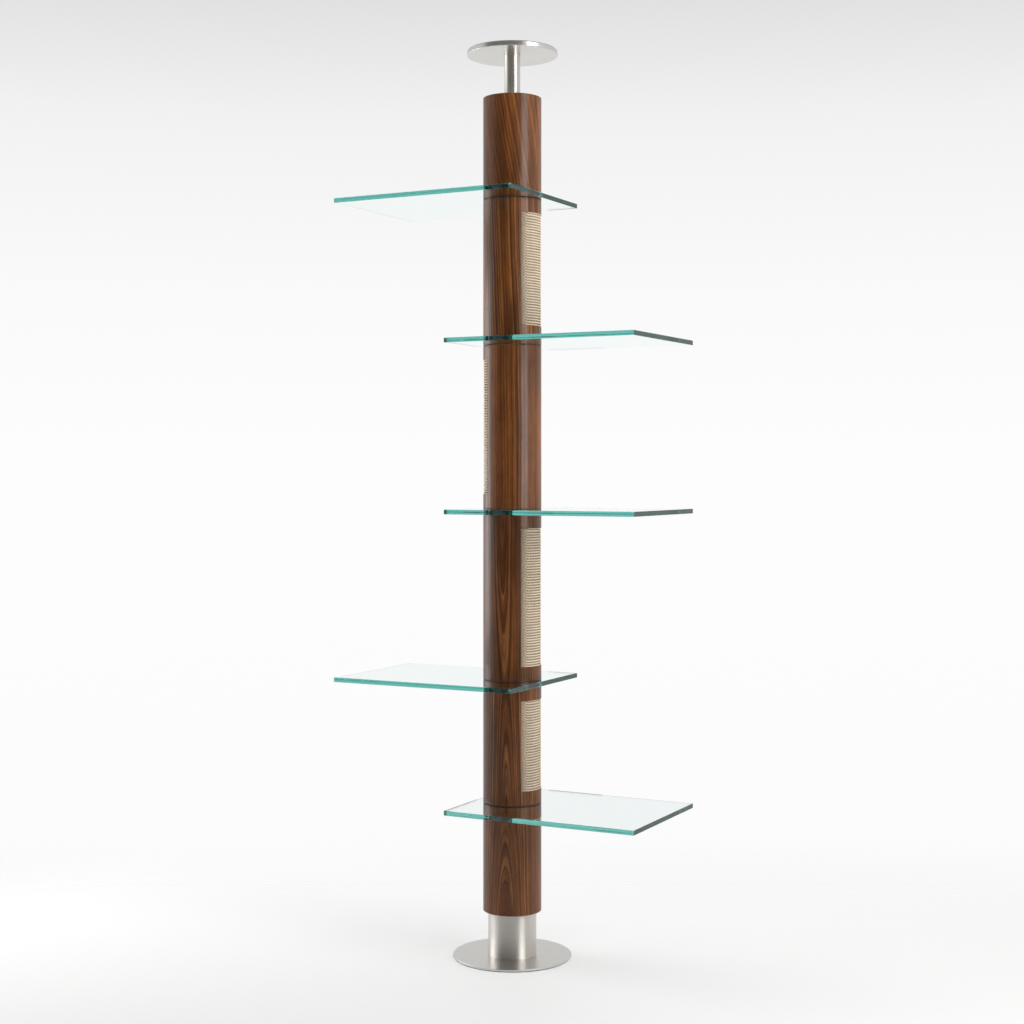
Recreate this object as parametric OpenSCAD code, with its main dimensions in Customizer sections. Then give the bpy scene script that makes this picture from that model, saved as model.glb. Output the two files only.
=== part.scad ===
// Floor-to-ceiling cat tree: a round walnut column on a steel core, with five glass shelves
// clamped between its segments, rope windows, and a sprung steel post up to the ceiling.
// Origin: centre of the base's underside. +X: the way the lowest shelf points. +Z: up.

/* [Base] */
// Diameter of the round base plate
base_d = 318; // [240:1:420]
// Thickness of the base plate
base_t = 5; // [4.8:0.1:12]
// Thickness of the floor pad under the base plate
base_pad_t = 1.5; // [1:0.1:4]
// Outer diameter of the pedestal tube
pedestal_d = 130; // [120:1:150]
// Wall of the pedestal tube
pedestal_wall = 3; // [1.5:0.1:5]
// Height of the pedestal tube
pedestal_h = 118.5; // [60:0.5:200]

/* [Column] */
// Outer diameter of the walnut column
column_d = 157; // [140:1:200]
// Thickness of the walnut skin
skin_t = 1.6; // [1:0.1:8]
// Height of the lowest segment
segment_1_h = 277; // [200:1:400]
// Height of the second segment
segment_2_h = 316; // [200:1:400]
// Height of the third segment
segment_3_h = 444; // [300:1:600]
// Height of the fourth segment
segment_4_h = 436; // [300:1:600]
// Height of the fifth segment
segment_5_h = 376; // [250:1:500]
// Height of the top segment
segment_6_h = 262; // [200:1:400]
// Thickness of the rings in the segments' ends
ring_t = 28; // [15:1:30]
// Wall of the segments' inner tubes
drum_wall = 8; // [4:0.5:12]

/* [Rope windows] */
// Angle that a window takes out of the skin
window_angle = 106; // [60:1:150]
// Direction of the windows' middle, from +X
window_turn = 7.5; // [0:0.5:360]
// Skin left above and below a window
window_margin = 38; // [32:0.5:60]
// Thickness of the rope layer on the inner tube
rope_t = 6.9; // [5:0.1:12]

/* [Shelves] */
// Length of a glass shelf
shelf_l = 542; // [400:1:700]
// Width of a glass shelf
shelf_w = 396; // [250:1:500]
// Thickness of the glass
shelf_t = 12.7; // [8:0.1:19]
// Distance from the column's middle to a shelf's near end
shelf_end = 99.5; // [95:0.5:140]
// Bevel ground along the edges of the glass
shelf_bevel = 1; // [0.5:0.1:2]
// Thickness of the gaskets above and below the glass
gasket_t = 1; // [0.8:0.1:3]
// How far the gaskets sit inside the column's surface
gasket_inset = 0.8; // [0:0.1:3]
// Wall of the sleeve in the hole of the glass
sleeve_wall = 5; // [1.5:0.1:6]
// Direction of the lowest shelf, from +X
shelf_1_turn = 0; // [0:15:345]
// Direction of the second shelf
shelf_2_turn = 180; // [0:15:345]
// Direction of the third shelf
shelf_3_turn = 0; // [0:15:345]
// Direction of the fourth shelf
shelf_4_turn = 0; // [0:15:345]
// Direction of the top shelf
shelf_5_turn = 180; // [0:15:345]

/* [Core and ceiling post] */
// Outer diameter of the core tube
core_d = 76; // [60:0.5:80]
// Wall of the core tube
core_wall = 3; // [1.5:0.1:4]
// Outer diameter of the ceiling post
post_d = 43; // [34:0.5:45]
// Wall of the ceiling post
post_wall = 2.5; // [1.5:0.1:4]
// Length of post that shows between the column and the ceiling plate
post_show = 115.3; // [80:0.1:260]
// How far the post can rise
travel_up = 50; // [20:1:80]
// How far the post can sink
travel_down = 40; // [20:1:70]
// Length of the guide bush below its flange
bush_l = 60; // [30:1:90]
// Length of the tension spring at rest
spring_l = 120; // [100:1:160]
// Diameter of the ceiling plate
plate_d = 244; // [160:1:320]
// Thickness of the ceiling plate
plate_t = 12; // [10:0.1:20]
// Thickness of the pad on the ceiling plate
plate_pad_t = 1.2; // [1:0.1:4]

/* [Fits] */
// Radial clearance of pieces that slide or turn on each other
run_gap = 0.05; // [0.02:0.01:0.1]
// Radial clearance of pieces that are put together once
seat_gap = 0.05; // [0.02:0.01:0.3]

/* [Hidden] */
$fn = 128;
eps = 0.01;
SEGMENTS = 6;
SHELVES = 5;
segment_h = [segment_1_h, segment_2_h, segment_3_h, segment_4_h, segment_5_h, segment_6_h];
shelf_turn = [shelf_1_turn, shelf_2_turn, shelf_3_turn, shelf_4_turn, shelf_5_turn];
// Segments with a rope window, and the half turn that each one's window is given
window_segments = [2, 3, 4, 5];
window_half_turn = [0, 0, 0, 180, 0, 0];

// Radii, from the outside of the column in
column_r = column_d / 2;
skin_in_r = column_r - skin_t;
skin_bevel = 0.5;
rope_r = skin_in_r - 0.2;
core_r = core_d / 2;
core_in_r = core_r - core_wall;
sleeve_r = core_r + run_gap + sleeve_wall;
glass_hole_r = sleeve_r + seat_gap;
post_r = post_d / 2;
post_in_r = post_r - post_wall;

// Heights, from the floor up
base_top = base_pad_t + base_t;
column_z = base_top + pedestal_h;
joint_h = shelf_t + 2 * gasket_t;
function segment_z(i) = i == 1 ? column_z : segment_z(i - 1) + segment_h[i - 2] + joint_h;
function segment_top(i) = segment_z(i) + segment_h[i - 1];
function shelf_z(i) = segment_top(i) + gasket_t;
column_top = segment_top(SEGMENTS);

// Head of the column
cap_t = 3;
lock_h = 16;
lock_r = post_r + 12.5;
lock_screw_d = 6;
bush_flange_t = 3;
bush_flange_r = max(core_r, lock_r) + 2;
head_air = 1;
core_top = column_top - cap_t - head_air - lock_h - bush_flange_t;

// Ceiling post, from its foot up
post_bottom = core_top - bush_l - travel_up - 0.5;
foot_t = 12;
foot_spigot = 10;
spring_top = post_bottom - foot_t;
spring_bottom = spring_top - spring_l;
spring_wire = 3.5;
spring_r = post_in_r - spring_wire / 2 - 1;
// So many turns that there is air between them with the post all the way down
spring_turns = floor((spring_l - travel_down) / (2.5 * spring_wire));
spring_air = 0.2;
seat_t = 10;
plate_z = column_top + post_show;
socket_h = 5;
plug_h = 25;
plate_top = plate_z + plate_t;

// Countersunk screws and bolts: diameter, head diameter, head height, length
base_screw = [8, 15, 3.8, 18];
core_bolt_size = [10, 18, 4.2, 28];
plate_bolt_size = [10, 18, 4.2, 22];
base_screw_ring = core_r + 10;
base_screw_count = 4;
foot_ring_h = 16;
core_plug_h = 30;
pedestal_cap_h = 12;
thread_gap = 0.05;

// ---- Shared shapes ----

// A plain ring standing on z
module ring(z, h, outer, inner) {
    translate([0, 0, z])
        difference() {
            cylinder(h = h, r = outer);
            translate([0, 0, -1]) cylinder(h = h + 2, r = inner);
        }
}

// A plain disc standing on z
module disc(z, h, r) {
    translate([0, 0, z]) cylinder(h = h, r = r);
}

// Half the section of a disc with a small round on its outer edges, for rotate_extrude
module rim_profile(r, h, round) {
    union() {
        square([r - round, h]);
        translate([0, round]) square([r, h - 2 * round]);
        translate([r - round, round]) circle(r = round, $fn = 24);
        translate([r - round, h - round]) circle(r = round, $fn = 24);
    }
}

// A disc with rounded outer edges
module round_disc(z, h, r, round) {
    translate([0, 0, z]) rotate_extrude() rim_profile(r, h, round);
}

// A wedge about the Z axis, from angle a to angle b, for cutting windows
module wedge(z, h, r, a, b) {
    steps = 6;
    arc = [for (k = [0:steps]) a + (b - a) * k / steps];
    translate([0, 0, z])
        linear_extrude(h)
            polygon(concat([[0, 0]], [for (t = arc) [r * cos(t), r * sin(t)]]));
}

// A countersunk screw hanging down from its flat head at z = 0, with a hexagon socket
module screw(size) {
    socket_d = size[0] * 0.62;
    difference() {
        union() {
            translate([0, 0, -size[2]]) cylinder(h = size[2], r1 = size[0] / 2, r2 = size[1] / 2);
            translate([0, 0, -size[3]]) cylinder(h = size[3] - size[2] + eps, d = size[0]);
        }
        translate([0, 0, -size[2] * 0.8]) cylinder(h = size[2], d = socket_d, $fn = 6);
    }
}

// The hole that such a screw sits in
module screw_hole(size, depth) {
    gap = 0.2;
    translate([0, 0, -size[2]])
        cylinder(h = size[2] + eps, r1 = size[0] / 2 + gap, r2 = size[1] / 2 + gap);
    translate([0, 0, -depth - 1]) cylinder(h = depth + 1, d = size[0] + 2 * gap);
}

// Children at the base screws' places
module base_screw_places() {
    for (k = [0:base_screw_count - 1])
        rotate(45 + k * 360 / base_screw_count)
            translate([base_screw_ring, 0, 0]) children();
}

// ---- Base ----

module base_pad() {
    color("dimgray") disc(0, base_pad_t, base_d / 2 - 2);
}

module base_plate() {
    color("silver")
        difference() {
            round_disc(base_pad_t, base_t, base_d / 2, 1);
            translate([0, 0, base_pad_t]) {
                base_screw_places() mirror([0, 0, 1]) screw_hole(base_screw, base_t);
                mirror([0, 0, 1]) screw_hole(core_bolt_size, base_t);
            }
        }
}

module base_screws() {
    color("gainsboro")
        translate([0, 0, base_pad_t + 0.1])
            base_screw_places() mirror([0, 0, 1]) screw(base_screw);
}

module pedestal_tube() {
    color("silver") ring(base_top, pedestal_h, pedestal_d / 2, pedestal_d / 2 - pedestal_wall);
}

module pedestal_foot() {
    color("gainsboro")
        difference() {
            ring(base_top, foot_ring_h, pedestal_d / 2 - pedestal_wall - seat_gap, core_r + seat_gap);
            translate([0, 0, base_top - 1])
                base_screw_places()
                    cylinder(h = foot_ring_h + 2, d = base_screw[0] + 2 * thread_gap);
        }
}

module pedestal_cap() {
    color("gainsboro")
        ring(column_z - pedestal_cap_h, pedestal_cap_h,
             pedestal_d / 2 - pedestal_wall - seat_gap, core_r + seat_gap);
}

module core_tube() {
    color("lightgray") ring(base_top, core_top - base_top, core_r, core_in_r);
}

module core_plug() {
    color("gainsboro")
        ring(base_top, core_plug_h, core_in_r - seat_gap, core_bolt_size[0] / 2 + thread_gap);
}

module core_bolt() {
    color("gainsboro")
        translate([0, 0, base_pad_t + 0.1]) mirror([0, 0, 1]) screw(core_bolt_size);
}

// ---- Column ----

function has_window(i) = len([for (w = window_segments) if (w == i) w]) > 0;
function drum_r(i) = has_window(i) ? skin_in_r - rope_t : skin_in_r - seat_gap;

module walnut_skin(i) {
    h = segment_h[i - 1];
    middle = window_turn + window_half_turn[i - 1];
    section = [
        [skin_in_r, 0],
        [column_r - skin_bevel, 0],
        [column_r, skin_bevel],
        [column_r, h - skin_bevel],
        [column_r - skin_bevel, h],
        [skin_in_r, h]
    ];
    color("saddlebrown")
        difference() {
            translate([0, 0, segment_z(i)]) rotate_extrude() polygon(section);
            if (has_window(i))
                wedge(segment_z(i) + window_margin, h - 2 * window_margin, 2 * column_r,
                      middle - window_angle / 2, middle + window_angle / 2);
        }
}

module inner_tube(i) {
    color("burlywood")
        ring(segment_z(i) + ring_t, segment_h[i - 1] - 2 * ring_t, drum_r(i), drum_r(i) - drum_wall);
}

module end_rings(i) {
    // The uppermost ring makes room for the bush's flange and the lock collar
    top_bore = i == SEGMENTS ? bush_flange_r + seat_gap : core_r + seat_gap;
    top_drop = i == SEGMENTS ? cap_t : 0;
    color("burlywood") {
        ring(segment_z(i), ring_t, skin_in_r - seat_gap, core_r + seat_gap);
        ring(segment_top(i) - ring_t, ring_t - top_drop, skin_in_r - seat_gap, top_bore);
    }
}

module rope_wrap(i) {
    air = 0.3;
    color("tan")
        ring(segment_z(i) + ring_t + air, segment_h[i - 1] - 2 * (ring_t + air),
             rope_r, drum_r(i) + seat_gap);
}

// ---- Shelves ----

// Section of the glass along one side, with its ground bevels
module glass_section(from, to) {
    polygon([
        [from + shelf_bevel, 0], [to - shelf_bevel, 0],
        [to, shelf_bevel], [to, shelf_t - shelf_bevel],
        [to - shelf_bevel, shelf_t], [from + shelf_bevel, shelf_t],
        [from, shelf_t - shelf_bevel], [from, shelf_bevel]
    ]);
}

module shelf_glass(i) {
    far = shelf_l - shelf_end;
    color("paleturquoise", 0.5)
        translate([0, 0, shelf_z(i)])
            rotate(shelf_turn[i - 1])
                difference() {
                    intersection() {
                        translate([0, shelf_w / 2, 0])
                            rotate([90, 0, 0])
                                linear_extrude(shelf_w) glass_section(-shelf_end, far);
                        translate([-shelf_end, 0, 0])
                            rotate([90, 0, 90])
                                linear_extrude(shelf_l) glass_section(-shelf_w / 2, shelf_w / 2);
                    }
                    translate([0, 0, -1]) cylinder(h = shelf_t + 2, r = glass_hole_r);
                }
}

module shelf_gaskets(i) {
    color("dimgray")
        for (z = [shelf_z(i) - gasket_t, shelf_z(i) + shelf_t])
            ring(z, gasket_t, column_r - gasket_inset, sleeve_r + seat_gap);
}

module shelf_sleeve(i) {
    air = 0.1;
    color("black")
        ring(shelf_z(i) - gasket_t + air, joint_h - 2 * air, sleeve_r, core_r + run_gap);
}

// ---- Head of the column and ceiling post ----

module top_cap() {
    color("silver")
        ring(column_top - cap_t, cap_t, skin_in_r - seat_gap, post_r + 0.3);
}

module guide_bush() {
    color("white")
        difference() {
            union() {
                disc(core_top - bush_l, bush_l, core_in_r - seat_gap);
                disc(core_top, bush_flange_t, bush_flange_r);
            }
            disc(core_top - bush_l - 1, bush_l + bush_flange_t + 2, post_r + run_gap);
        }
}

// Children at the two lock screws' places, pointing away from the post
module lock_screw_places() {
    for (a = [0, 180])
        translate([0, 0, core_top + bush_flange_t + lock_h / 2])
            rotate([0, 90, a]) children();
}

module lock_collar() {
    color("gainsboro")
        difference() {
            ring(core_top + bush_flange_t, lock_h, lock_r, post_r + run_gap);
            lock_screw_places() cylinder(h = lock_r + 1, d = lock_screw_d + 2 * thread_gap);
        }
}

module lock_screws() {
    color("dimgray")
        lock_screw_places()
            difference() {
                translate([0, 0, post_r + run_gap])
                    cylinder(h = lock_r - post_r - run_gap - 0.5, d = lock_screw_d);
                translate([0, 0, lock_r - 4]) cylinder(h = 5, d = lock_screw_d * 0.6, $fn = 6);
            }
}

module spring_seat() {
    color("gainsboro") {
        disc(spring_bottom - seat_t, seat_t, core_in_r - seat_gap);
        disc(spring_bottom - eps, seat_t, spring_r - spring_wire);
    }
}

// A helix swept as one closed tube
module tension_spring() {
    sides = 8;
    rings_a_turn = 20;
    count = spring_turns * rings_a_turn;
    rise = spring_l - spring_wire - 2 * spring_air;
    z0 = spring_bottom + spring_air + spring_wire / 2;
    points = [for (k = [0:count], s = [0:sides - 1])
        let (a = 360 * k / rings_a_turn,
             t = 360 * s / sides,
             r = spring_r + spring_wire / 2 * cos(t))
        [r * cos(a), r * sin(a), z0 + rise * k / count + spring_wire / 2 * sin(t)]];
    walls = [for (k = [0:count - 1], s = [0:sides - 1])
        let (n = (s + 1) % sides)
        [k * sides + s, k * sides + n, (k + 1) * sides + n, (k + 1) * sides + s]];
    caps = [
        [for (s = [sides - 1:-1:0]) s],
        [for (s = [0:sides - 1]) count * sides + s]
    ];
    color("dimgray") polyhedron(points = points, faces = concat(walls, caps));
}

module ceiling_post() {
    color("silver")
        ring(post_bottom, plate_z + socket_h - post_bottom, post_r, post_in_r);
}

module post_foot() {
    color("white") {
        disc(post_bottom - foot_t, foot_t, core_in_r - 2 * run_gap);
        disc(post_bottom - eps, foot_spigot, post_in_r - seat_gap);
    }
}

module post_plug() {
    color("gainsboro")
        ring(plate_z + socket_h - plug_h, plug_h, post_in_r - seat_gap,
             plate_bolt_size[0] / 2 + thread_gap);
}

module ceiling_plate() {
    color("silver")
        difference() {
            round_disc(plate_z, plate_t, plate_d / 2, 1);
            disc(plate_z - 1, socket_h + 1, post_r + seat_gap);
            translate([0, 0, plate_top]) screw_hole(plate_bolt_size, plate_t);
        }
}

module plate_bolt() {
    color("gainsboro") translate([0, 0, plate_top - 0.1]) screw(plate_bolt_size);
}

module ceiling_pad() {
    color("dimgray") disc(plate_top, plate_pad_t, plate_d / 2 - 2);
}

// ---- Drawing ----

base_pad();
base_plate();
base_screws();
pedestal_tube();
pedestal_foot();
pedestal_cap();
core_tube();
core_plug();
core_bolt();
for (i = [1:SEGMENTS]) {
    walnut_skin(i);
    inner_tube(i);
    end_rings(i);
}
for (i = window_segments)
    rope_wrap(i);
for (i = [1:SHELVES]) {
    shelf_glass(i);
    shelf_gaskets(i);
    shelf_sleeve(i);
}
top_cap();
guide_bush();
lock_collar();
lock_screws();
spring_seat();
tension_spring();
ceiling_post();
post_foot();
post_plug();
ceiling_plate();
plate_bolt();
ceiling_pad();
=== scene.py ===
"""The looks of a floor-to-ceiling cat tree: walnut column, glass shelves, rope windows, steel ends."""
import math
import random

import bmesh
import bpy
import numpy as np
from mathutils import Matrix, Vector


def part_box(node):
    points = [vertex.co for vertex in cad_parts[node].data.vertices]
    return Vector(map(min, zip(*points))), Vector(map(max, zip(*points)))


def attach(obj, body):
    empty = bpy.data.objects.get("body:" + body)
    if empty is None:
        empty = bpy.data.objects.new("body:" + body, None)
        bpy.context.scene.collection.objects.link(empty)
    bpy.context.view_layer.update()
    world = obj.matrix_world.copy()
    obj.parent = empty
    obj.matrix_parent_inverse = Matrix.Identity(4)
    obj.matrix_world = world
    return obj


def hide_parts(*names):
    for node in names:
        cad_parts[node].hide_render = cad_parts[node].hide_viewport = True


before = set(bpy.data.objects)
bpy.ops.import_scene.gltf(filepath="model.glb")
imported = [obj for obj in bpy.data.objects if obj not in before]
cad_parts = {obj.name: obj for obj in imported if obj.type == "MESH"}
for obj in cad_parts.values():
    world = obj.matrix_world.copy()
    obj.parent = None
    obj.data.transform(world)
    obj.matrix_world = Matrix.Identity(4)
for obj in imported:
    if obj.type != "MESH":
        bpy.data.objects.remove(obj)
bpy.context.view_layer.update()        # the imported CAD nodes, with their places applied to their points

MM = 0.001
SEED = 7

# Where the camera stands: degrees round the column, with 0 looking along +Y, and metres
CAMERA_AZIMUTH = 27.5
CAMERA_DISTANCE = 4.617
CAMERA_HEIGHT = 1.305
CAMERA_LENS = 60.2
CAMERA_SHIFT = (-0.0003, -0.0396)
# The direction from the column to the camera, as an angle from +X
CAMERA_SIDE = CAMERA_AZIMUTH - 90

SEGMENTS = range(1, 7)
SHELVES = range(1, 6)

# The rope windows: angles from +X in degrees, and the skin left above and below
WINDOW_MIDDLE = {2: 7.5, 3: 7.5, 4: 187.5, 5: 7.5}
WINDOW_ANGLE = 106
WINDOW_MARGIN = 38 * MM

# Steel that is brushed as a sheet is, in one direction
PLATES = ("base_plate", "ceiling_plate", "top_cap")


# ---- Small helpers ----

def inner_radius(node):
    """The smallest distance of a CAD node's points from the column's axis."""
    return min(math.hypot(v.co.x, v.co.y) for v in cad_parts[node].data.vertices)


def on_circle(radius, degrees, z=0.0):
    angle = math.radians(degrees)
    return Vector((radius * math.cos(angle), radius * math.sin(angle), z))


def ease(share):
    """Goes smoothly from 0 to 1 as the share does, and stays there."""
    share = min(1.0, max(0.0, share))
    return share * share * (3 - 2 * share)


def mesh_object(name, points, faces):
    mesh = bpy.data.meshes.new(name)
    mesh.from_pydata([tuple(p) for p in points], [], faces)
    piece = bpy.data.objects.new(name, mesh)
    bpy.context.scene.collection.objects.link(piece)
    return piece


def smooth_by_angle(mesh, limit=38):
    """Smooth shading, with the edges that turn by more than the limit in degrees kept sharp."""
    edit = bmesh.new()
    edit.from_mesh(mesh)
    for face in edit.faces:
        face.smooth = True
    for edge in edit.edges:
        edge.smooth = edge.calc_face_angle(math.pi) < math.radians(limit)
    edit.to_mesh(mesh)
    edit.free()


def finish_piece(piece, material, body, slot, *nodes):
    """Gives a new piece its material and its body, and hides the CAD nodes that it stands for. The slot is
    not used.
    """
    piece.data.materials.append(material)
    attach(piece, body)
    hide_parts(*nodes)


# ---- Shader helpers ----

class Graph:
    """Adds shader nodes to a tree and joins them."""

    def __init__(self, tree):
        self.tree = tree
        self.tree.nodes.clear()

    def add(self, kind, inputs=(), **settings):
        node = self.tree.nodes.new("ShaderNode" + kind)
        for key, value in settings.items():
            setattr(node, key, value)
        for key, value in dict(inputs).items():
            if isinstance(value, bpy.types.NodeSocket):
                self.tree.links.new(value, node.inputs[key])
            else:
                node.inputs[key].default_value = value
        return node

    def math(self, operation, *values):
        return self.add("Math", dict(enumerate(values)), operation=operation).outputs[0]

    def spread(self, value, low, high, to_low=0.0, to_high=1.0):
        """Maps low..high to to_low..to_high, and clamps."""
        sockets = {"Value": value, "From Min": low, "From Max": high, "To Min": to_low, "To Max": to_high}
        return self.add("MapRange", sockets).outputs[0]

    def vector(self, x, y, z=0.0):
        return self.add("CombineXYZ", {0: x, 1: y, 2: z}).outputs[0]

    def stretch(self, vector, scale):
        return self.add("Mapping", {"Vector": vector, "Scale": scale}, vector_type="POINT").outputs[0]

    def noise(self, vector, scale=1.0, detail=2.0, roughness=0.5, distortion=0.0):
        sockets = {"Vector": vector, "Scale": scale, "Detail": detail}
        sockets.update({"Roughness": roughness, "Distortion": distortion})
        return self.add("TexNoise", sockets).outputs[0]

    def line_noise(self, place, detail=2.0, roughness=0.5):
        sockets = {"W": place, "Scale": 1.0, "Detail": detail, "Roughness": roughness}
        return self.add("TexNoise", sockets, noise_dimensions="1D").outputs[0]

    def ramp(self, value, stops):
        node = self.add("ValToRGB", {0: value})
        elements = node.color_ramp.elements
        while len(elements) < len(stops):
            elements.new(0.5)
        for element, (place, colour) in zip(elements, stops):
            element.position = place
            element.color = (*colour, 1.0)
        return node.outputs[0]

    def blend(self, factor, colour, other):
        """Goes from a linked colour to a plain one as the factor rises."""
        return self.add("Mix", {0: factor, 6: colour, 7: (*other, 1.0)}, data_type="RGBA").outputs[2]

    def tint(self, colour, factor):
        """Multiplies a colour by a number."""
        return self.add("VectorMath", {0: colour, "Scale": factor}, operation="SCALE").outputs[0]

    def bump(self, height, distance):
        return self.add("Bump", {"Height": height, "Distance": distance, "Strength": 1.0}).outputs[0]

    def object_place(self):
        return self.add("TexCoord").outputs["Object"]

    def surface(self, volume=None, **sockets):
        """A Principled shader whose sockets are named with underscores for spaces."""
        shader = self.add("BsdfPrincipled", {k.replace("_", " "): v for k, v in sockets.items()})
        output = self.add("OutputMaterial", {"Surface": shader.outputs[0]})
        if volume is not None:
            self.tree.links.new(volume.outputs[0], output.inputs["Volume"])


def new_material(name):
    material = bpy.data.materials.new("look_" + name)
    material.use_nodes = True
    return material, Graph(material.node_tree)


# ---- Materials ----

# How each segment's veneer is figured. centre: the middle of the arches, in degrees from +X. depth: how far
# the pith lies under the veneer at the segment's foot. slope: how that changes with height, positive for
# arches that point up. slant: how the grain leans. rings: distance between year rings. figure: how far the
# rings stand out. tone: brightness.
VENEERS = {
    1: {"centre": -76, "depth": 40 * MM, "slope": 0.048, "slant": 0.00, "rings": 3.4 * MM,
        "figure": 1.05, "tone": 0.98},
    2: {"centre": -75, "depth": 9 * MM, "slope": 0.05, "slant": 0.00, "rings": 4.2 * MM,
        "figure": 1.2, "tone": 0.80},
    3: {"centre": -77, "depth": 24 * MM, "slope": -0.035, "slant": 0.02, "rings": 4.0 * MM,
        "figure": 1.2, "tone": 0.76},
    4: {"centre": 60, "depth": 30 * MM, "slope": 0.02, "slant": 0.01, "rings": 7.0 * MM,
        "figure": 0.95, "tone": 1.08},
    5: {"centre": 70, "depth": 24 * MM, "slope": 0.03, "slant": 0.05, "rings": 6.5 * MM,
        "figure": 1.3, "tone": 1.02},
    6: {"centre": 90, "depth": 40 * MM, "slope": 0.02, "slant": 0.19, "rings": 8.0 * MM,
        "figure": 0.78, "tone": 1.04},
}
# The veneer's joint is on the side away from the camera
VENEER_JOINT = CAMERA_SIDE + 180
VENEER_WANDER = 16 * MM         # how far the grain drifts sideways
VENEER_WAVER = 1.6 * MM         # its finer wobble
VENEER_DEPTH_WANDER = 5 * MM    # how far the pith comes nearer and goes away


def walnut(segment, radius, foot):
    """Walnut veneer cut from a leaning log: its year rings are read from the distance to the pith."""
    veneer = VENEERS[segment]
    material, g = new_material(f"walnut_{segment}")
    turn = math.radians(VENEER_JOINT - 180)
    turned = g.add("VectorRotate", {"Vector": g.object_place(), "Angle": -turn}, rotation_type="Z_AXIS")
    place = g.add("SeparateXYZ", {0: turned.outputs[0]})
    angle = g.math("ARCTAN2", place.outputs[1], place.outputs[0])
    across = g.math("MULTIPLY", angle, radius)
    # Each segment reads a part of the noise that is its own
    along = g.math("ADD", place.outputs[2], 3.7 * segment)
    flat = g.vector(across, along, 1.3 * segment)

    # The sheet's wander, and the distance from the pith
    wander = g.math("SUBTRACT", g.noise(g.stretch(flat, (9, 2.4, 1)), 1, 2), 0.5)
    waver = g.math("SUBTRACT", g.noise(g.stretch(flat, (60, 8, 1)), 1, 2), 0.5)
    height = g.math("SUBTRACT", place.outputs[2], foot)
    centre = math.radians(veneer["centre"]) - turn
    centre = math.atan2(math.sin(centre), math.cos(centre)) * radius
    side = g.math("SUBTRACT", across, centre)
    side = g.math("MULTIPLY_ADD", height, veneer["slant"], side)
    side = g.math("MULTIPLY_ADD", wander, VENEER_WANDER, side)
    side = g.math("MULTIPLY_ADD", waver, VENEER_WAVER, side)
    depth = g.math("MULTIPLY_ADD", height, veneer["slope"], veneer["depth"])
    depth = g.math("MULTIPLY_ADD", wander, VENEER_DEPTH_WANDER, depth)
    pith = g.math("SQRT", g.math("ADD", g.math("MULTIPLY", side, side), g.math("MULTIPLY", depth, depth)))
    rings = g.math("DIVIDE", pith, veneer["rings"])

    bands = g.line_noise(g.math("ADD", rings, 31.0 * segment), 3, 0.6)
    bands = g.math("MULTIPLY_ADD", bands, veneer["figure"], 0.5 - 0.5 * veneer["figure"])
    lines = g.line_noise(g.math("MULTIPLY_ADD", rings, 1.9, 11.0 * segment), 2, 0.5)
    tone = g.noise(g.stretch(flat, (20, 3.2, 1)), 1, 3)
    mottle = g.noise(g.stretch(flat, (55, 14, 1)), 1, 3, 0.6)
    fibre = g.noise(g.stretch(flat, (1100, 34, 1)), 1, 3, 0.6)
    streak = g.noise(g.stretch(flat, (300, 5, 1)), 1, 2)
    pores = g.noise(g.stretch(flat, (1700, 130, 1)), 1, 1)

    wood = g.ramp(bands, [(0.28, (0.070, 0.019, 0.0035)), (0.43, (0.114, 0.035, 0.0070)),
                          (0.56, (0.162, 0.055, 0.0125)), (0.72, (0.262, 0.102, 0.0300))])
    line_mask = g.spread(lines, 0.40, 0.33)
    wood = g.blend(g.math("MULTIPLY", line_mask, 0.62), wood, (0.034, 0.010, 0.0035))
    wood = g.tint(wood, g.spread(tone, 0.30, 0.70, 0.62 * veneer["tone"], 1.42 * veneer["tone"]))
    wood = g.tint(wood, g.spread(mottle, 0.30, 0.70, 0.80, 1.18))
    wood = g.tint(wood, g.spread(streak, 0.28, 0.72, 0.82, 1.20))
    wood = g.tint(wood, g.spread(fibre, 0.25, 0.75, 0.82, 1.16))
    pore_mask = g.spread(pores, 0.62, 0.70)
    wood = g.blend(g.math("MULTIPLY", pore_mask, 0.55), wood, (0.030, 0.009, 0.004))
    relief = g.math("SUBTRACT", g.math("MULTIPLY", fibre, 0.5), pore_mask)
    g.surface(Base_Color=wood, Roughness=g.spread(streak, 0.2, 0.8, 0.38, 0.50), Specular_IOR_Level=0.16,
              Normal=g.bump(relief, 0.05 * MM), Coat_Weight=0.32, Coat_Roughness=0.21, Coat_IOR=1.5)
    return material


def brushed_tube():
    """Steel brushed round the tube, so that reflections draw out along it."""
    material, g = new_material("brushed_tube")
    place = g.object_place()
    brush = g.noise(g.stretch(place, (9, 9, 5200)), 1, 3, 0.6)
    cloud = g.noise(place, 14, 3)
    tangent = g.add("Tangent", direction_type="RADIAL", axis="Z").outputs[0]
    colour = g.ramp(brush, [(0.25, (0.56, 0.53, 0.49)), (0.75, (0.68, 0.65, 0.61))])
    rough = g.math("ADD", g.spread(brush, 0.3, 0.7, 0.39, 0.45), g.spread(cloud, 0.3, 0.7, -0.02, 0.02))
    g.surface(Base_Color=colour, Metallic=1.0, Roughness=rough, Anisotropic=0.86,
              Anisotropic_Rotation=0.25, Tangent=tangent, Normal=g.bump(brush, 0.004 * MM))
    return material


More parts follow.
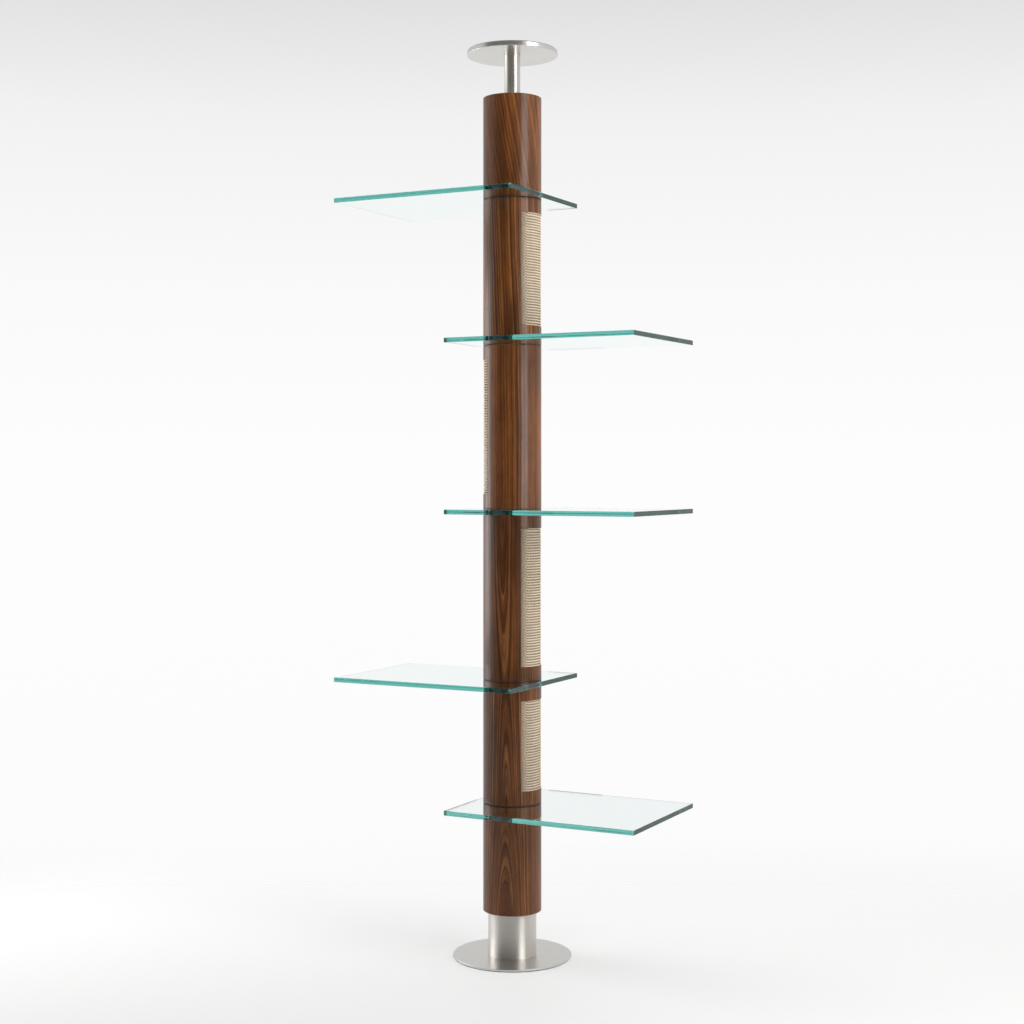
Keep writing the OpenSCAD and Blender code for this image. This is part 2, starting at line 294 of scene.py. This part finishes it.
def brushed_plate():
    """Steel brushed in one direction, as sheet is."""
    material, g = new_material("brushed_plate")
    place = g.object_place()
    brush = g.noise(g.stretch(place, (7, 2600, 2600)), 1, 3, 0.6)
    cloud = g.noise(place, 9, 3)
    colour = g.ramp(brush, [(0.25, (0.56, 0.55, 0.525)), (0.75, (0.66, 0.65, 0.625))])
    rough = g.math("ADD", g.spread(brush, 0.3, 0.7, 0.26, 0.33), g.spread(cloud, 0.3, 0.7, -0.02, 0.02))
    g.surface(Base_Color=colour, Metallic=1.0, Roughness=rough, Normal=g.bump(brush, 0.004 * MM))
    return material


def clear_glass(name, colour, gloss=(1, 1, 1)):
    """Thick float glass, sea green in the depth. The colour is what passes, and gloss tints what reflects."""
    material, g = new_material(name)
    tint = g.add("VolumeAbsorption", {"Color": (0.10, 0.693, 0.64, 1.0), "Density": 5.0})
    haze = g.noise(g.object_place(), 3, 1)
    g.surface(volume=tint, Base_Color=(*colour, 1), Specular_Tint=(*gloss, 1), IOR=1.52,
              Transmission_Weight=1.0, Roughness=g.spread(haze, 0.2, 0.8, 0.0, 0.004))
    return material


def sisal(turned_radius, strand_width):
    """Twisted sisal: the fibres follow the strands, with painted shade that darkens the grooves between
    strands and the valleys between turns.
    """
    material, g = new_material("sisal_rope")
    lay = g.add("UVMap", uv_map="strand").outputs[0]
    fibre = g.noise(g.stretch(lay, (90, 2400, 1)), 1, 3, 0.65)
    place = g.object_place()
    patch = g.noise(place, 45, 2)
    tone = g.noise(g.stretch(lay, (14, 40, 1)), 1, 2)
    # Painted shade along the groove between strands: the colour is darkened there.
    across = g.math("FRACT", g.math("DIVIDE", g.add("SeparateXYZ", {0: lay}).outputs[1], strand_width))
    painted_groove_shade = g.spread(g.math("ABSOLUTE", g.math("SUBTRACT", across, 0.5)), 0.0, 0.22, 0.44, 1.0)
    # Painted shade between the turns: the colour darkens the nearer the rope lies to the column's axis, down
    # in the valleys between turns.
    flat = g.add("VectorMath", {0: place, 1: (1, 1, 0)}, operation="MULTIPLY").outputs[0]
    radius = g.add("VectorMath", {0: flat}, operation="LENGTH").outputs["Value"]
    painted_valley_shade = g.spread(radius, turned_radius - 2.8 * MM, turned_radius - 0.9 * MM, 0.08, 1.0)
    colour = g.ramp(fibre, [(0.25, (0.60, 0.44, 0.29)), (0.5, (0.84, 0.67, 0.48)),
                            (0.75, (0.95, 0.84, 0.68))])
    uneven = g.spread(patch, 0.3, 0.7, 0.92, 1.07)
    mottle = g.spread(tone, 0.3, 0.7, 0.90, 1.08)
    for factor in (uneven, mottle, painted_groove_shade, painted_valley_shade):
        colour = g.tint(colour, factor)
    g.surface(Base_Color=colour, Roughness=0.82, Sheen_Weight=0.25, Sheen_Roughness=0.5,
              Normal=g.bump(fibre, 0.25 * MM))
    return material


def rubber():
    material, g = new_material("gasket_rubber")
    grain = g.noise(g.object_place(), 900, 3)
    colour = g.ramp(grain, [(0.3, (0.012, 0.012, 0.011)), (0.7, (0.026, 0.025, 0.024))])
    g.surface(Base_Color=colour, Roughness=g.spread(grain, 0.3, 0.7, 0.5, 0.62),
              Normal=g.bump(grain, 0.02 * MM))
    return material


def felt():
    material, g = new_material("floor_felt")
    fuzz = g.noise(g.object_place(), 700, 5, 0.7, 1.0)
    colour = g.ramp(fuzz, [(0.3, (0.035, 0.035, 0.036)), (0.7, (0.095, 0.094, 0.092))])
    g.surface(Base_Color=colour, Roughness=0.95, Sheen_Weight=0.3, Normal=g.bump(fuzz, 0.2 * MM))
    return material


def birch_ply():
    """Birch ply: pale, with thin dark glue lines between its layers."""
    material, g = new_material("inner_ply")
    place = g.object_place()
    layer = g.math("FRACT", g.math("DIVIDE", g.add("SeparateXYZ", {0: place}).outputs[2], 1.4 * MM))
    grain = g.noise(g.stretch(place, (300, 300, 30)), 1, 3)
    colour = g.ramp(grain, [(0.3, (0.50, 0.36, 0.22)), (0.7, (0.66, 0.51, 0.34))])
    glue = g.spread(layer, 0.90, 0.97)
    colour = g.blend(g.math("MULTIPLY", glue, 0.6), colour, (0.20, 0.12, 0.07))
    g.surface(Base_Color=colour, Roughness=0.7, Normal=g.bump(grain, 0.05 * MM))
    return material


def nylon(name, dark, light):
    material, g = new_material(name)
    grain = g.noise(g.object_place(), 260, 3)
    g.surface(Base_Color=g.ramp(grain, [(0.3, dark), (0.7, light)]),
              Roughness=g.spread(grain, 0.3, 0.7, 0.36, 0.46), Normal=g.bump(grain, 0.02 * MM))
    return material


def turned_steel(name, dark, light, roughness):
    """Machined steel, with fine turning marks."""
    material, g = new_material(name)
    marks = g.noise(g.stretch(g.object_place(), (60, 60, 2400)), 1, 3)
    rough = g.spread(marks, 0.3, 0.7, roughness - 0.05, roughness + 0.05)
    g.surface(Base_Color=g.ramp(marks, [(0.3, dark), (0.7, light)]), Metallic=1.0, Roughness=rough,
              Normal=g.bump(marks, 0.01 * MM))
    return material


# ---- Walnut shells ----

SHELL_STEPS = 168           # columns of faces round a shell
SHELL_ROUND = 0.5 * MM      # how far its rims and window edges are rounded
SHELL_SUPPORT = 1.5 * MM    # how near the rows and columns stand that hold the rounds tight


def shell_angles(window, radius):
    """Angles round a shell, with close pairs at the window's sides that hold its rounds tight."""
    if window is None:
        return [360 * k / SHELL_STEPS for k in range(SHELL_STEPS)]
    near = math.degrees(SHELL_SUPPORT / radius)
    start, end = window
    inside = round(SHELL_STEPS * (end - start) / 360)
    outside = SHELL_STEPS - inside
    opening = [start + (end - start) * k / inside for k in range(inside)]
    wall_start, wall_end = end + near, start + 360 - near
    wall = [wall_start + (wall_end - wall_start) * k / outside for k in range(outside + 1)]
    return opening + [end] + wall


def walnut_shell(segment):
    """A segment's walnut skin as a closed shell, with its rope window cut out if it has one."""
    node = f"walnut_skin_{segment}"
    low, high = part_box(node)
    outer, inner = high.x, inner_radius(node)
    window = None
    levels = [low.z, low.z + SHELL_SUPPORT, high.z - SHELL_SUPPORT, high.z]
    if segment in WINDOW_MIDDLE:
        middle = WINDOW_MIDDLE[segment]
        window = (middle - WINDOW_ANGLE / 2, middle + WINDOW_ANGLE / 2)
        sill, head = low.z + WINDOW_MARGIN, high.z - WINDOW_MARGIN
        levels[2:2] = [sill - SHELL_SUPPORT, sill, head, head + SHELL_SUPPORT]
    angles = shell_angles(window, outer)
    columns, rows = len(angles), len(levels) - 1

    def is_wood(column, row):
        if not 0 <= row < rows:
            return False
        if window is None:
            return True
        opening = angles[column % columns] < window[1] - 1e-6 and levels[row] >= sill - 1e-9
        return not (opening and levels[row + 1] <= head + 1e-9)

    points = [on_circle(r, a, z) for r in (outer, inner) for z in levels for a in angles]

    def at(skin, column, row):
        return skin * columns * (rows + 1) + row * columns + column % columns

    faces = []
    for row in range(rows):
        for column in range(columns):
            if not is_wood(column, row):
                continue
            a, b = column, column + 1
            faces.append([at(0, a, row), at(0, b, row), at(0, b, row + 1), at(0, a, row + 1)])
            faces.append([at(1, a, row), at(1, a, row + 1), at(1, b, row + 1), at(1, b, row)])
            if not is_wood(column, row - 1):
                faces.append([at(0, a, row), at(1, a, row), at(1, b, row), at(0, b, row)])
            if not is_wood(column, row + 1):
                faces.append([at(0, a, row + 1), at(0, b, row + 1), at(1, b, row + 1), at(1, a, row + 1)])
            if not is_wood(column - 1, row):
                faces.append([at(0, a, row), at(0, a, row + 1), at(1, a, row + 1), at(1, a, row)])
            if not is_wood(column + 1, row):
                faces.append([at(0, b, row), at(1, b, row), at(1, b, row + 1), at(0, b, row + 1)])

    piece = mesh_object(f"walnut_shell_{segment}", points, faces)
    edit = bmesh.new()
    edit.from_mesh(piece.data)
    bmesh.ops.delete(edit, geom=[v for v in edit.verts if not v.link_faces], context="VERTS")
    rim = [e for e in edit.edges
           if e.calc_face_angle(0) > math.radians(60)
           and all(math.hypot(v.co.x, v.co.y) > (outer + inner) / 2 for v in e.verts)]
    bmesh.ops.bevel(edit, geom=rim, offset=SHELL_ROUND, segments=3, profile=0.5, affect="EDGES")
    bmesh.ops.recalc_face_normals(edit, faces=edit.faces)
    edit.to_mesh(piece.data)
    edit.free()
    smooth_by_angle(piece.data)
    finish_piece(piece, walnut(segment, outer, low.z), "column", "walnut", node)


# ---- Rope ----

ROPE_PITCH = 7.0 * MM
ROPE_LAY = 30 * MM        # length in which a strand goes once round the rope
ROPE_LAY_WIDTH = 7 * MM   # width of a strand in the rope's own coordinates
ROPE_BULGE = 1.2 * MM     # how far the rope swells into the window
ROPE_BULGE_OVER = 6       # degrees in which it does
ROPE_STEP = 1.3 * MM      # distance between rings where the rope shows
ROPE_HIDDEN_STEP = 15     # degrees between rings behind the skin
ROPE_MARGIN = 4           # degrees of fine rope behind each side of the skin
ROPE_SHAPE = (1.0, 0.94, 0.70, 0.94)    # a strand's middle, its flank, the groove, and its other flank
ROPE_STRANDS = 3
ROPE_SQUASH = 0.94        # its height as a share of its depth
ROPE_WOBBLES = 8          # how often its place and size change in a turn
ROPE_SWELL = 0.02         # the most that its size changes, as a share
ROPE_NUDGE = 0.05         # the most that it leaves its place, in pitches
ROPE_SLIP = 0.05          # the most that it twists between rings behind the skin, in radians
CROSSOVER = (-3, 14)      # where each turn steps down to the next, in degrees from the window's first side
CROSSOVER_DROP = 1.9      # how far it drops there, in pitches: the rest climbs back behind the skin


def turn_of_rope(radius):
    """One turn's angles from the window's first side on, and whether each one shows."""
    first = -ROPE_MARGIN
    last = WINDOW_ANGLE + ROPE_MARGIN
    shown = round(math.radians(last - first) * radius / ROPE_STEP)
    hidden = round((360 - (last - first)) / ROPE_HIDDEN_STEP)
    angles = [(first + (last - first) * k / shown, True) for k in range(shown)]
    angles += [(last + (first + 360 - last) * k / hidden, False) for k in range(hidden)]
    return angles


def drop_of_turn(angle):
    """How far down a turn has come at an angle from the window's first side, in pitches."""
    start, end = CROSSOVER
    drop = CROSSOVER_DROP * ease((angle - start) / (end - start))
    back_from = WINDOW_ANGLE + ROPE_MARGIN
    back_to = 360 - ROPE_MARGIN
    back = min(1.0, max(0.0, (angle - back_from) / (back_to - back_from)))
    return drop - (CROSSOVER_DROP - 1) * back


def wraps(mesh, count):
    """Marks the corners of the faces that join a section's last point to its first."""
    marks = np.zeros(len(mesh.loops), bool)
    for face in mesh.polygons:
        ends = {mesh.loops[k].vertex_index % count for k in face.loop_indices}
        if ends == {0, count - 1}:
            marks[face.loop_start:face.loop_start + face.loop_total] = True
    return marks


def rope_winding(segment):
    """One rope of three twisted strands, wound from the top down and tight on its tube."""
    node = f"rope_wrap_{segment}"
    low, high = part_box(node)
    outer, inner = high.x, inner_radius(node)
    thick = (outer - inner) / 2
    middle = (outer + inner) / 2
    start = WINDOW_MIDDLE[segment] - WINDOW_ANGLE / 2
    dice = random.Random(SEED + segment)
    # The first turn starts below its step, and the last one ends above the next, so both fit the node
    span = high.z - low.z - 2 * thick
    turns = int(span / ROPE_PITCH + 2 - CROSSOVER_DROP)
    pitch = span / (turns - 2 + CROSSOVER_DROP)
    top = high.z - thick + pitch
    one_turn = turn_of_rope(middle)
    count = ROPE_STRANDS * len(ROPE_SHAPE)
    shape = [ROPE_SHAPE[k % len(ROPE_SHAPE)] for k in range(count)]

    points, lays = [], []
    twist, travelled, last = 0.0, 0.0, None
    for turn in range(turns):
        swell = [dice.uniform(-ROPE_SWELL, ROPE_SWELL) for _ in range(ROPE_WOBBLES)]
        nudge = [dice.uniform(-ROPE_NUDGE, ROPE_NUDGE) * pitch for _ in range(ROPE_WOBBLES)]
        slip = dice.uniform(-ROPE_SLIP, ROPE_SLIP)
        for angle, shows in one_turn:
            if turn == 0 and angle < CROSSOVER[1]:
                continue
            z = top - (turn + drop_of_turn(angle)) * pitch
            part = (angle + ROPE_MARGIN) / 360 * ROPE_WOBBLES
            now, after = int(part) % ROPE_WOBBLES, (int(part) + 1) % ROPE_WOBBLES
            share = ease(part - int(part))
            z += nudge[now] * (1 - share) + nudge[after] * share
            size = 1 + swell[now] * (1 - share) + swell[after] * share
            bulge = ROPE_BULGE * ease(min(angle, WINDOW_ANGLE - angle) / ROPE_BULGE_OVER)
            here = on_circle(middle + bulge, start + angle, z)
            length = (here - last).length if last is not None else 0.0
            travelled += length
            last = here
            twist += length / ROPE_LAY * 2 * math.pi if shows else slip
            out = on_circle(1.0, start + angle)
            for s in range(count):
                around = 2 * math.pi * s / count - twist
                reach = shape[s] * size
                side = thick * reach * math.cos(around)
                rise = thick * ROPE_SQUASH * reach * math.sin(around)
                points.append(here + out * side + Vector((0, 0, rise)))
                lays.append((travelled, s / len(ROPE_SHAPE) * ROPE_LAY_WIDTH))

    rings = len(points) // count
    faces = [[k * count + (s + 1) % count, k * count + s,
              (k + 1) * count + s, (k + 1) * count + (s + 1) % count]
             for k in range(rings - 1) for s in range(count)]
    faces.append(list(range(count)))
    faces.append(list(range(rings * count - 1, (rings - 1) * count - 1, -1)))
    piece = mesh_object(f"rope_winding_{segment}", points, faces)
    strand = piece.data.uv_layers.new(name="strand")
    corner_points = np.zeros(len(piece.data.loops), int)
    piece.data.loops.foreach_get("vertex_index", corner_points)
    corner_lays = np.array(lays)[corner_points]
    seam = (corner_points % count == 0) & wraps(piece.data, count)
    corner_lays[seam, 1] = ROPE_STRANDS * ROPE_LAY_WIDTH
    strand.data.foreach_set("uv", corner_lays.ravel())
    smooth_by_angle(piece.data, 60)
    finish_piece(piece, looks["sisal_rope"], "column", "sisal_rope", node)


# ---- Glass shelves ----

GLASS_BEVEL = 1.0 * MM
GLASS_HOLE_STEPS = 96
GLASS_CORNER = 0.004      # share of a side next to each corner that takes no more points
GLASS_AIR = 0.03 * MM     # between the glass and its gaskets, so that the two faces never coincide


def shelf_outline(low, high, inset, spots):
    """Points on a rectangle drawn in by inset. A spot is a side's number and the share along it."""
    corners = [Vector((high.x - inset, low.y + inset)), Vector((high.x - inset, high.y - inset)),
               Vector((low.x + inset, high.y - inset)), Vector((low.x + inset, low.y + inset))]
    return [corners[side].lerp(corners[(side + 1) % 4], share) for side, share in spots]


def shelf_spots(low, high):
    """Where rays from the axis meet the four sides, at even angles and at the corners."""
    corners = [(high.x, low.y), (high.x, high.y), (low.x, high.y), (low.x, low.y)]
    spots = [(side, 0.0) for side in range(4)]
    for k in range(GLASS_HOLE_STEPS):
        angle = 2 * math.pi * k / GLASS_HOLE_STEPS
        ray = Vector((math.cos(angle), math.sin(angle)))
        for side in range(4):
            a, b = Vector(corners[side]), Vector(corners[(side + 1) % 4])
            along = b - a
            turn = ray.cross(along)
            if abs(turn) < 1e-9:
                continue
            share = a.cross(ray) / turn
            reach = a.cross(along) / turn
            if reach > 0 and GLASS_CORNER < share < 1 - GLASS_CORNER:
                spots.append((side, share))
    return sorted(spots)


def glass_shelf(shelf):
    """A bevelled glass plate with a round hole. Its two short ends take a glass with painted shade: a dark
    teal colour in what passes through, and teal-tinted reflections.
    """
    node = f"shelf_glass_{shelf}"
    low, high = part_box(node)
    hole = inner_radius(node)
    spots = shelf_spots(low, high)
    count = len(spots)
    full = shelf_outline(low, high, 0.0, spots)
    drawn = shelf_outline(low, high, GLASS_BEVEL, spots)
    rim = [hole * p.normalized() for p in full]
    bottom, top = low.z + GLASS_AIR, high.z - GLASS_AIR
    loops = [(rim, bottom), (drawn, bottom), (full, bottom + GLASS_BEVEL),
             (full, top - GLASS_BEVEL), (drawn, top), (rim, top)]
    points = [(p.x, p.y, z) for loop, z in loops for p in loop]
    faces = []
    for loop in range(len(loops)):
        after = (loop + 1) % len(loops)
        for k in range(count):
            n = (k + 1) % count
            faces.append([loop * count + k, loop * count + n, after * count + n, after * count + k])
    piece = mesh_object(f"glass_shelf_{shelf}", points, faces)
    edit = bmesh.new()
    edit.from_mesh(piece.data)
    bmesh.ops.recalc_face_normals(edit, faces=edit.faces)
    edit.to_mesh(piece.data)
    edit.free()
    smooth_by_angle(piece.data, 20)
    finish_piece(piece, looks["shelf_glass"], f"shelf_{shelf}", "shelf_glass", node)
    # The short ends get painted shade: a dark teal colour in what passes through, and teal-tinted
    # reflections.
    piece.data.materials.append(looks["glass_end_painted_shade"])
    for face in piece.data.polygons:
        if abs(face.normal.x) > 0.99:
            face.material_index = 1


# ---- The studio ----

FLOOR_REACH = 3.3           # metres, as all lengths here
FLOOR_FADE = (1.5, 2.7)     # distances from the column between which the floor fades out
FLOOR_BACK = (-1.5, 1.0)    # places on the line towards the camera between which it fades in
FLAG_DISTANCE = 3.4
FLAG_HEIGHT = 4.7
FLAG_HALF_ANGLE = 72
FLAG_RISE = (2.7, 3.4)      # heights between which the flag goes from dark to less dark
FLAG_GLOW = (0.10, 0.24)


def make_camera():
    camera = bpy.data.objects.new("camera", bpy.data.cameras.new("camera"))
    bpy.context.scene.collection.objects.link(camera)
    camera.location = on_circle(CAMERA_DISTANCE, CAMERA_SIDE, CAMERA_HEIGHT)
    camera.rotation_euler = (math.radians(90), 0, math.radians(CAMERA_AZIMUTH))
    camera.data.lens = CAMERA_LENS
    camera.data.sensor_width = 36
    camera.data.shift_x, camera.data.shift_y = CAMERA_SHIFT
    bpy.context.scene.camera = camera


def make_world():
    """An even white studio, a little greyer towards its ceiling."""
    world = bpy.data.worlds.new("studio")
    world.use_nodes = True
    bpy.context.scene.world = world
    g = Graph(world.node_tree)
    up = g.add("SeparateXYZ", {0: g.add("TexCoord").outputs["Generated"]}).outputs[2]
    level = g.spread(up, -1, 1)
    light = g.ramp(level, [(0.0, (0.92,) * 3), (0.50, (0.985,) * 3), (0.555, (0.95,) * 3),
                           (0.60, (0.885,) * 3), (0.635, (0.74,) * 3), (0.75, (0.9,) * 3)])
    shade = g.add("Background", {"Color": light, "Strength": 1.0})
    g.add("OutputWorld", {"Surface": shade.outputs[0]})


def make_floor():
    """A pale disc that fades into the studio's white, away from the camera."""
    toward = on_circle(1.0, CAMERA_SIDE)
    steps = 96
    points = [(0, 0, 0)] + [on_circle(FLOOR_REACH, 360 * k / steps) for k in range(steps)]
    faces = [[0, 1 + k, 1 + (k + 1) % steps] for k in range(steps)]
    floor = mesh_object("floor", points, faces)
    material, g = new_material("floor")
    place = g.object_place()
    near = g.add("VectorMath", {0: place, 1: toward}, operation="DOT_PRODUCT").outputs["Value"]
    far = g.add("VectorMath", {0: place}, operation="LENGTH").outputs["Value"]
    solid = g.math("MULTIPLY", g.spread(near, *FLOOR_BACK), g.spread(far, *reversed(FLOOR_FADE)))
    clear = g.add("BsdfTransparent")
    paint = g.add("BsdfPrincipled", {"Base Color": (0.84, 0.84, 0.835, 1), "Roughness": 0.6,
                                     "Specular IOR Level": 0.25})
    mixed = g.add("MixShader", {0: solid, 1: clear.outputs[0], 2: paint.outputs[0]})
    g.add("OutputMaterial", {"Surface": mixed.outputs[0]})
    floor.data.materials.append(material)


def make_flag():
    """A grey screen on the camera's side that the object alone sees: it darkens the front of the column."""
    steps = 24
    first = CAMERA_SIDE - FLAG_HALF_ANGLE
    angles = [first + 2 * FLAG_HALF_ANGLE * k / steps for k in range(steps + 1)]
    points = [on_circle(FLAG_DISTANCE, a, z) for z in (0.01, FLAG_HEIGHT) for a in angles]
    faces = [[k, k + 1, steps + 2 + k, steps + 1 + k] for k in range(steps)]
    flag = mesh_object("flag", points, faces)
    material, g = new_material("flag")
    up = g.add("SeparateXYZ", {0: g.object_place()}).outputs[2]
    glow = g.add("Emission", {"Color": (1, 1, 1, 1), "Strength": g.spread(up, *FLAG_RISE, *FLAG_GLOW)})
    g.add("OutputMaterial", {"Surface": glow.outputs[0]})
    flag.data.materials.append(material)
    flag.visible_camera = False
    flag.visible_transmission = False


def soft_light(name, side, distance, height, size, power):
    """A soft rectangular light that faces the column, at degrees to the camera's right."""
    data = bpy.data.lights.new(name, "AREA")
    data.shape = "RECTANGLE"
    data.size, data.size_y = size
    data.energy = power
    light = bpy.data.objects.new(name, data)
    bpy.context.scene.collection.objects.link(light)
    light.location = on_circle(distance, CAMERA_SIDE + side, height)
    light.rotation_euler = (math.radians(90), 0, math.radians(CAMERA_SIDE + side + 90))
    light.visible_camera = False
    light.visible_transmission = False


def make_studio():
    scene = bpy.context.scene
    scene.view_settings.view_transform = "Standard"
    scene.cycles.max_bounces = 24
    scene.cycles.glossy_bounces = 16
    scene.cycles.transmission_bounces = 20
    make_world()
    make_floor()
    make_flag()
    soft_light("key", side=50, distance=2.4, height=1.9, size=(1.15, 2.1), power=54)
    soft_light("edge", side=-112, distance=2.2, height=1.35, size=(1.3, 1.4), power=24)


# ---- Putting it together ----

make_camera()
make_studio()

looks = {
    "brushed_steel": brushed_tube(),
    "shelf_glass": clear_glass("shelf_glass", (1.0, 1.0, 1.0)),
    # Painted shade for the glass's short ends: a dark teal colour in what passes through, and teal-tinted
    # reflections.
    "glass_end_painted_shade": clear_glass("glass_end_painted_shade", (0.05, 0.13, 0.115), (0.5, 0.85, 0.8)),
    "sisal_rope": sisal(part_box("rope_wrap_3")[1].x + ROPE_BULGE, ROPE_LAY_WIDTH),
    "gasket_rubber": rubber(),
    "floor_felt": felt(),
    "plain_steel": turned_steel("plain_steel", (0.50, 0.50, 0.49), (0.62, 0.62, 0.60), 0.32),
    "black_steel": turned_steel("black_steel", (0.035, 0.035, 0.037), (0.07, 0.07, 0.072), 0.42),
    "inner_ply": birch_ply(),
    "white_nylon": nylon("white_nylon", (0.74, 0.73, 0.69), (0.80, 0.79, 0.76)),
    "black_nylon": nylon("black_nylon", (0.08, 0.08, 0.08), (0.11, 0.11, 0.11)),
}
plate_look = brushed_plate()

for segment in SEGMENTS:
    walnut_shell(segment)
for segment in WINDOW_MIDDLE:
    rope_winding(segment)
for shelf in SHELVES:
    glass_shelf(shelf)

# The CAD nodes keep their shape and take a better material by their slot
for name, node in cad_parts.items():
    slot = node.data.materials[0].name
    if name in PLATES:
        node.data.materials[0] = plate_look
    elif slot in looks:
        node.data.materials[0] = looks[slot]
